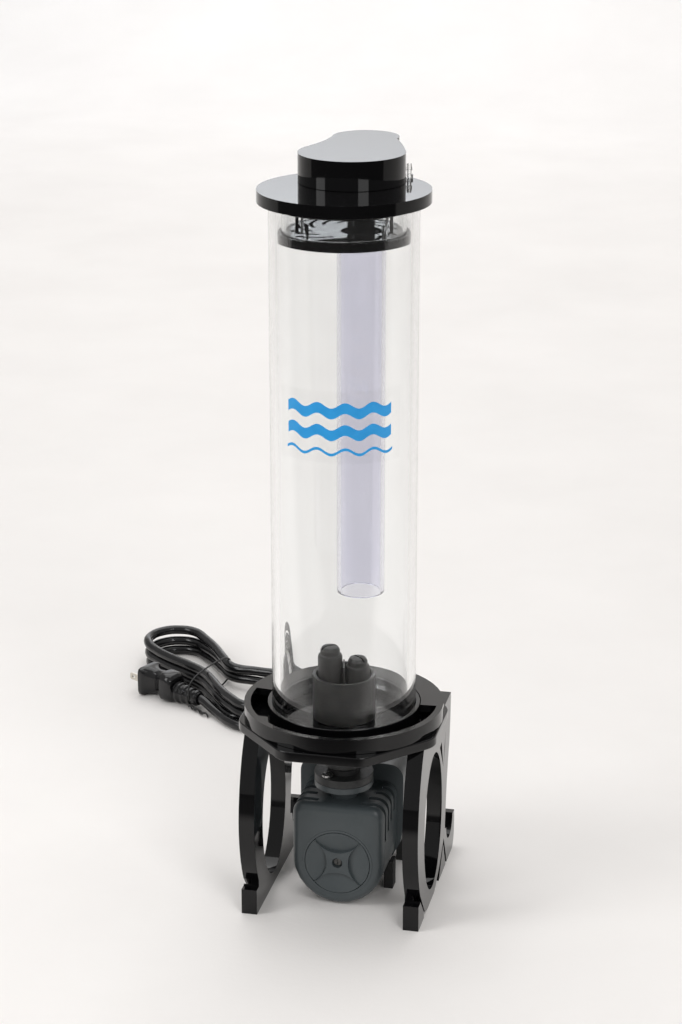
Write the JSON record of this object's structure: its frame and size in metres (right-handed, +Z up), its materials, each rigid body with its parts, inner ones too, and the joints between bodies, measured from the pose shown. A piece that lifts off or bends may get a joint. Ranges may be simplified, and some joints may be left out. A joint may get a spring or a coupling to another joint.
{
  "type": "protein skimmer",
  "caption": "Clear acrylic column reactor on a black octagonal stand, with an outlet block on its lid, a submersible pump below and a coiled mains cord.",
  "frame": {"origin": "middle of the standing object's outline, on the surface that it stands on, without the mains cord", "axes": "+X to the object's right seen from the pump's intake, +Y from the intake to the motor, +Z up along the column"},
  "size_m": [0.3821, 0.5596, 0.6071],
  "materials": {
    "black_acrylic": "polished cast sheet",
    "clear_acrylic": "polished clear acrylic tube",
    "violet_acrylic": "clear acrylic with a faint violet cast",
    "grey_plastic": "satin moulded",
    "slate_plastic": "fine moulded grain, half matt",
    "rubber": "matt",
    "black_pvc": "half gloss flexible PVC",
    "stainless_steel": "turned",
    "nickel_blade": "stamped and nickel plated",
    "stator_steel": "stacked laminations",
    "copper_winding": "enamelled wire",
    "ferrite_magnet": "ground ferrite",
    "white_ceramic": "ground"
  },
  "bodies": {
    "base": {"base_plate": "black_acrylic", "keeper_ring": "black_acrylic", "leg_left": "black_acrylic", "leg_right": "black_acrylic", "inlet_cup": "grey_plastic", "bulkhead_gasket": "rubber", "bulkhead_nut": "grey_plastic", "pump_cover": "slate_plastic", "volute": "slate_plastic", "volute_seal": "rubber", "union_flange": "grey_plastic", "union_screw_front": "stainless_steel", "union_screw_rear": "stainless_steel", "motor_shell": "slate_plastic", "motor_back_cover": "slate_plastic", "stator_core": "stator_steel", "coil_left": "copper_winding", "coil_right": "copper_winding", "rotor_shaft": "white_ceramic", "front_bearing": "white_ceramic", "rear_bearing": "rubber", "pump_foot_front_left": "rubber", "pump_foot_front_right": "rubber", "pump_foot_rear_left": "rubber", "pump_foot_rear_right": "rubber", "cord_gland": "black_pvc", "cord_lead": "black_pvc", "cord_hank": "black_pvc", "cord_tail": "black_pvc", "cord_tie": "rubber", "plug_relief": "black_pvc", "plug_body": "black_pvc", "plug_blade_live": "nickel_blade", "plug_blade_neutral": "nickel_blade"},
    "lid": {"lid_flange": "black_acrylic", "outlet_block": "black_acrylic", "outlet_spigot": "black_acrylic", "bleed_fitting": "clear_acrylic", "lid_sleeve": "clear_acrylic", "lid_seal": "rubber", "screen_disc": "black_acrylic", "downpipe": "violet_acrylic"},
    "column": {"column_tube": "clear_acrylic", "column_collar": "black_acrylic", "column_seal": "rubber"},
    "tall_jet_plug": {"jet_plug_tall": "grey_plastic"},
    "short_jet_plug": {"jet_plug_short": "grey_plastic"},
    "intake_cap": {"intake_cap": "slate_plastic", "intake_cap_screw": "stainless_steel"},
    "rotor": {"impeller": "grey_plastic", "rotor_magnet": "ferrite_magnet"}
  },
  "joints": [
    {"name": "column_twist", "type": "hinge", "parent": "base", "child": "column", "pos_m": [0, -0.0179, 0.171], "axis": [0, 0, 1], "range_deg": [0, 180]},
    {"name": "lid_lift", "type": "slide", "parent": "column", "child": "lid", "axis": [0, 0, 1], "range_m": [0, 0.33]},
    {"name": "tall_jet_turn", "type": "hinge", "parent": "base", "child": "tall_jet_plug", "pos_m": [-0.0107, -0.0203, 0.171], "axis": [0, 0, 1], "continuous": true},
    {"name": "short_jet_turn", "type": "hinge", "parent": "base", "child": "short_jet_plug", "pos_m": [0.0107, -0.0155, 0.171], "axis": [0, 0, 1], "continuous": true},
    {"name": "intake_cap_turn", "type": "hinge", "parent": "base", "child": "intake_cap", "pos_m": [0, -0.0429, 0.0386], "axis": [0, 1, 0], "range_deg": [0, 45]},
    {"name": "rotor_spin", "type": "hinge", "parent": "base", "child": "rotor", "pos_m": [0, 0.0021, 0.0386], "axis": [0, 1, 0], "continuous": true}
  ]
}
